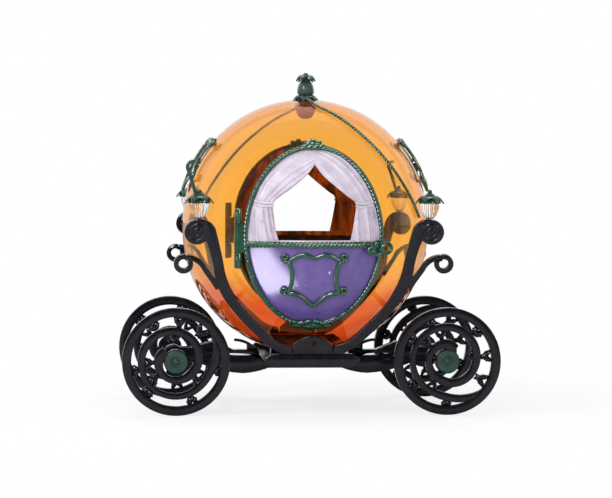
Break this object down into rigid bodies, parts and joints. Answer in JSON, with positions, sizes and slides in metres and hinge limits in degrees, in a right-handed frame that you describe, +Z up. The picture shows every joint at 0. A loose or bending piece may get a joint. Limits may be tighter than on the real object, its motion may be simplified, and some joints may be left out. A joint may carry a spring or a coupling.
{
  "type": "toy pumpkin carriage with opening doors",
  "caption": "Toy pumpkin carriage: a clear orange round body with hinged doors and curtained windows, cradled by black scroll arms over spiral wheels.",
  "frame": {"origin": "on the floor under the middle of the body", "axes": "+X along the carriage, +Y from the near side to the far side, +Z up"},
  "size_m": [0.3804, 0.2708, 0.3443],
  "materials": {
    "orange_clear": "clear tinted gloss",
    "purple": "gloss",
    "curtain_white": "satin",
    "green": "gloss",
    "dark_green": "gloss",
    "hub_green": "satin",
    "black": "gloss",
    "clear": "clear gloss",
    "steel": "drawn"
  },
  "bodies": {
    "root": {"arm_far_left": "black", "arm_far_right": "black", "arm_near_left": "black", "arm_near_right": "black", "axle_left": "steel", "axle_right": "steel", "chassis_deck": "black", "chassis_spine": "black", "end_frame_left": "green", "end_frame_right": "green", "fan_far": "black", "fan_near": "black", "finial": "dark_green", "finial_boss": "dark_green", "hinge_far": "green", "hinge_near": "green", "lamp_bulb_far_left": "clear", "lamp_bulb_far_right": "clear", "lamp_bulb_near_left": "clear", "lamp_bulb_near_right": "clear", "lamp_cap_far_left": "dark_green", "lamp_cap_far_right": "dark_green", "lamp_cap_near_left": "dark_green", "lamp_cap_near_right": "dark_green", "leaf_left": "black", "leaf_right": "black", "rope_trim_far": "green", "rope_trim_near": "green", "shell_far": "orange_clear", "shell_near": "orange_clear", "side_beam_far": "black", "side_beam_near": "black"},
    "door_near": {"door_cartouche_near": "green", "door_curtains_near": "curtain_white", "door_frame_near": "green", "door_panel_near": "purple", "latch_near": "green"},
    "door_far": {"door_cartouche_far": "green", "door_curtains_far": "curtain_white", "door_frame_far": "green", "door_panel_far": "purple", "latch_far": "green"},
    "wheel_near_left": {"wheel_near_left": "black", "hub_cap_near_left": "hub_green"},
    "wheel_near_right": {"wheel_near_right": "black", "hub_cap_near_right": "hub_green"},
    "wheel_far_left": {"wheel_far_left": "black", "hub_cap_far_left": "hub_green"},
    "wheel_far_right": {"wheel_far_right": "black", "hub_cap_far_right": "hub_green"}
  },
  "joints": [
    {"name": "door_near_hinge", "type": "hinge", "parent": "root", "child": "door_near", "pos_m": [-0.0752, -0.10665, 0.1777], "axis": [0, 0, -1], "range_deg": [0, 90]},
    {"name": "door_far_hinge", "type": "hinge", "parent": "root", "child": "door_far", "pos_m": [-0.0752, 0.10665, 0.1777], "axis": [0, 0, 1], "range_deg": [0, 90]},
    {"name": "wheel_near_left_spin", "type": "hinge", "parent": "root", "child": "wheel_near_left", "pos_m": [-0.1362, -0.097, 0.054], "axis": [0, 1, 0], "continuous": true},
    {"name": "wheel_near_right_spin", "type": "hinge", "parent": "root", "child": "wheel_near_right", "pos_m": [0.1362, -0.097, 0.054], "axis": [0, 1, 0], "continuous": true},
    {"name": "wheel_far_left_spin", "type": "hinge", "parent": "root", "child": "wheel_far_left", "pos_m": [-0.1362, 0.097, 0.054], "axis": [0, 1, 0], "continuous": true},
    {"name": "wheel_far_right_spin", "type": "hinge", "parent": "root", "child": "wheel_far_right", "pos_m": [0.1362, 0.097, 0.054], "axis": [0, 1, 0], "continuous": true}
  ]
}
